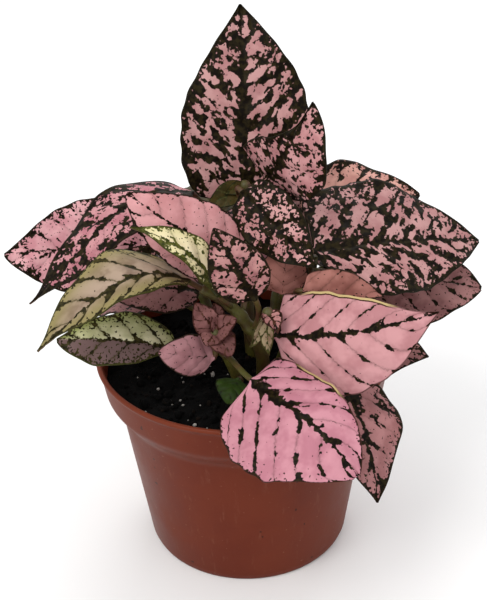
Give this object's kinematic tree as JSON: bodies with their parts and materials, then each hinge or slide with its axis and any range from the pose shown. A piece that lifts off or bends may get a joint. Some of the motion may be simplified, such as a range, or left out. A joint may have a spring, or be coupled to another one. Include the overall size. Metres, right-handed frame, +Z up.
{
  "type": "potted polka dot plant",
  "caption": "Bushy potted house plant: pointed pink leaves speckled dark green on short stems, rooted in soil in a round flared nursery pot.",
  "frame": {"origin": "centre of the pot's flat underside, where it stands", "axes": "+Z up along the pot's axis; -Y towards the front of the plant, where the lowest leaves hang over the rim; +X to its right seen from the front"},
  "size_m": [0.1657, 0.15, 0.1906],
  "materials": {
    "pot_plastic": "satin",
    "potting_mix": "matt",
    "stem_green": "satin",
    "young_leaf": "satin",
    "leaf_green": "satin",
    "leaf_dark_speckled": "satin",
    "leaf_pink": "satin",
    "leaf_cream": "satin"
  },
  "bodies": {
    "root": {"pot": "pot_plastic", "soil": "potting_mix", "stem_back_left": "stem_green", "stem_back_right": "stem_green", "stem_crown": "stem_green", "stem_front": "stem_green", "stem_left": "stem_green", "stem_right": "stem_green", "shoot_centre": "young_leaf", "shoot_crown": "young_leaf", "shoot_front": "young_leaf", "leaf_back_left_high": "leaf_pink", "leaf_back_left_low": "leaf_pink", "leaf_back_middle_high": "leaf_pink", "leaf_back_middle_low": "leaf_pink", "leaf_back_right_high": "leaf_pink", "leaf_back_right_low": "leaf_pink", "leaf_centre": "leaf_pink", "leaf_crown_back": "leaf_dark_speckled", "leaf_crown_front": "leaf_dark_speckled", "leaf_crown_hanging": "leaf_dark_speckled", "leaf_crown_low_left": "leaf_pink", "leaf_crown_low_right": "leaf_pink", "leaf_crown_tall": "leaf_dark_speckled", "leaf_front_green": "leaf_green", "leaf_front_low": "leaf_pink", "leaf_front_right": "leaf_pink", "leaf_front_side": "leaf_pink", "leaf_front_small": "leaf_pink", "leaf_left_arched": "leaf_cream", "leaf_left_broad": "leaf_pink", "leaf_left_far": "leaf_pink", "leaf_left_folded": "leaf_cream", "leaf_left_low": "leaf_pink", "leaf_left_shaded": "leaf_pink", "leaf_left_strip": "leaf_cream", "leaf_left_tucked": "leaf_pink", "leaf_left_upper": "leaf_pink", "leaf_right_behind": "leaf_dark_speckled", "leaf_right_inner": "leaf_pink", "leaf_right_large": "leaf_dark_speckled", "leaf_right_low": "leaf_pink", "leaf_right_lower": "leaf_pink", "leaf_right_short": "leaf_pink", "leaf_right_under": "leaf_pink"}
  },
  "joints": []
}
